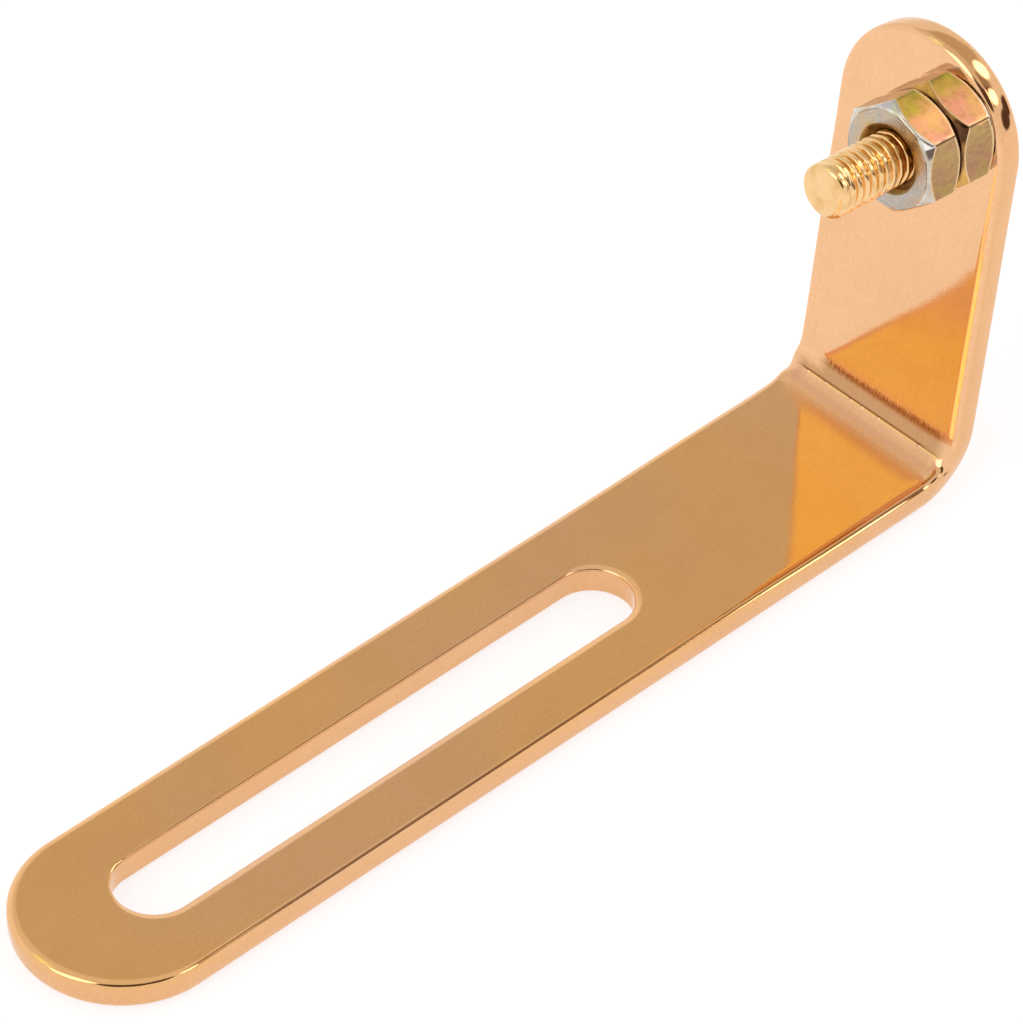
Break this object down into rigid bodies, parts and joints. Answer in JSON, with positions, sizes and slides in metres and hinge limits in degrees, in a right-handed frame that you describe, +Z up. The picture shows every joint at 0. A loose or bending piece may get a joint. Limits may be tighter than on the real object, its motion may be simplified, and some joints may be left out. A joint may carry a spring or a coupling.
{
  "type": "slotted angle bracket with threaded stud",
  "caption": "Gold-plated bent strip bracket with an adjusting slot in the long arm and a threaded stud with hex nuts on the short upright, for holding a panel at a set height.",
  "frame": {"origin": "centre of the bounding box in plan, at the underside of the long arm", "axes": "+X along the long arm from its free end to the bend, +Z up the short upright, Y across the strip"},
  "size_m": [0.0612, 0.0112, 0.0256],
  "materials": {
    "plated_strip": "bright gold plate over a buffed strip",
    "plated_stud": "bright gold plate over a rolled thread",
    "nut_zinc": "yellow passivated zinc plate on steel, with iridescent patches"
  },
  "bodies": {
    "bracket": {"bracket_plate": "plated_strip", "threaded_stud": "plated_stud"},
    "inner_nut": {"inner_nut": "nut_zinc"},
    "outer_nut": {"outer_nut": "nut_zinc"}
  },
  "joints": [
    {"name": "inner_nut_travel", "type": "slide", "parent": "bracket", "child": "inner_nut", "axis": [-0.9962, 0, 0.0872], "range_m": [0, 0.01]},
    {"name": "outer_nut_travel", "type": "slide", "parent": "inner_nut", "child": "outer_nut", "axis": [-0.9962, 0, 0.0872], "range_m": [0, 0.0075]}
  ]
}
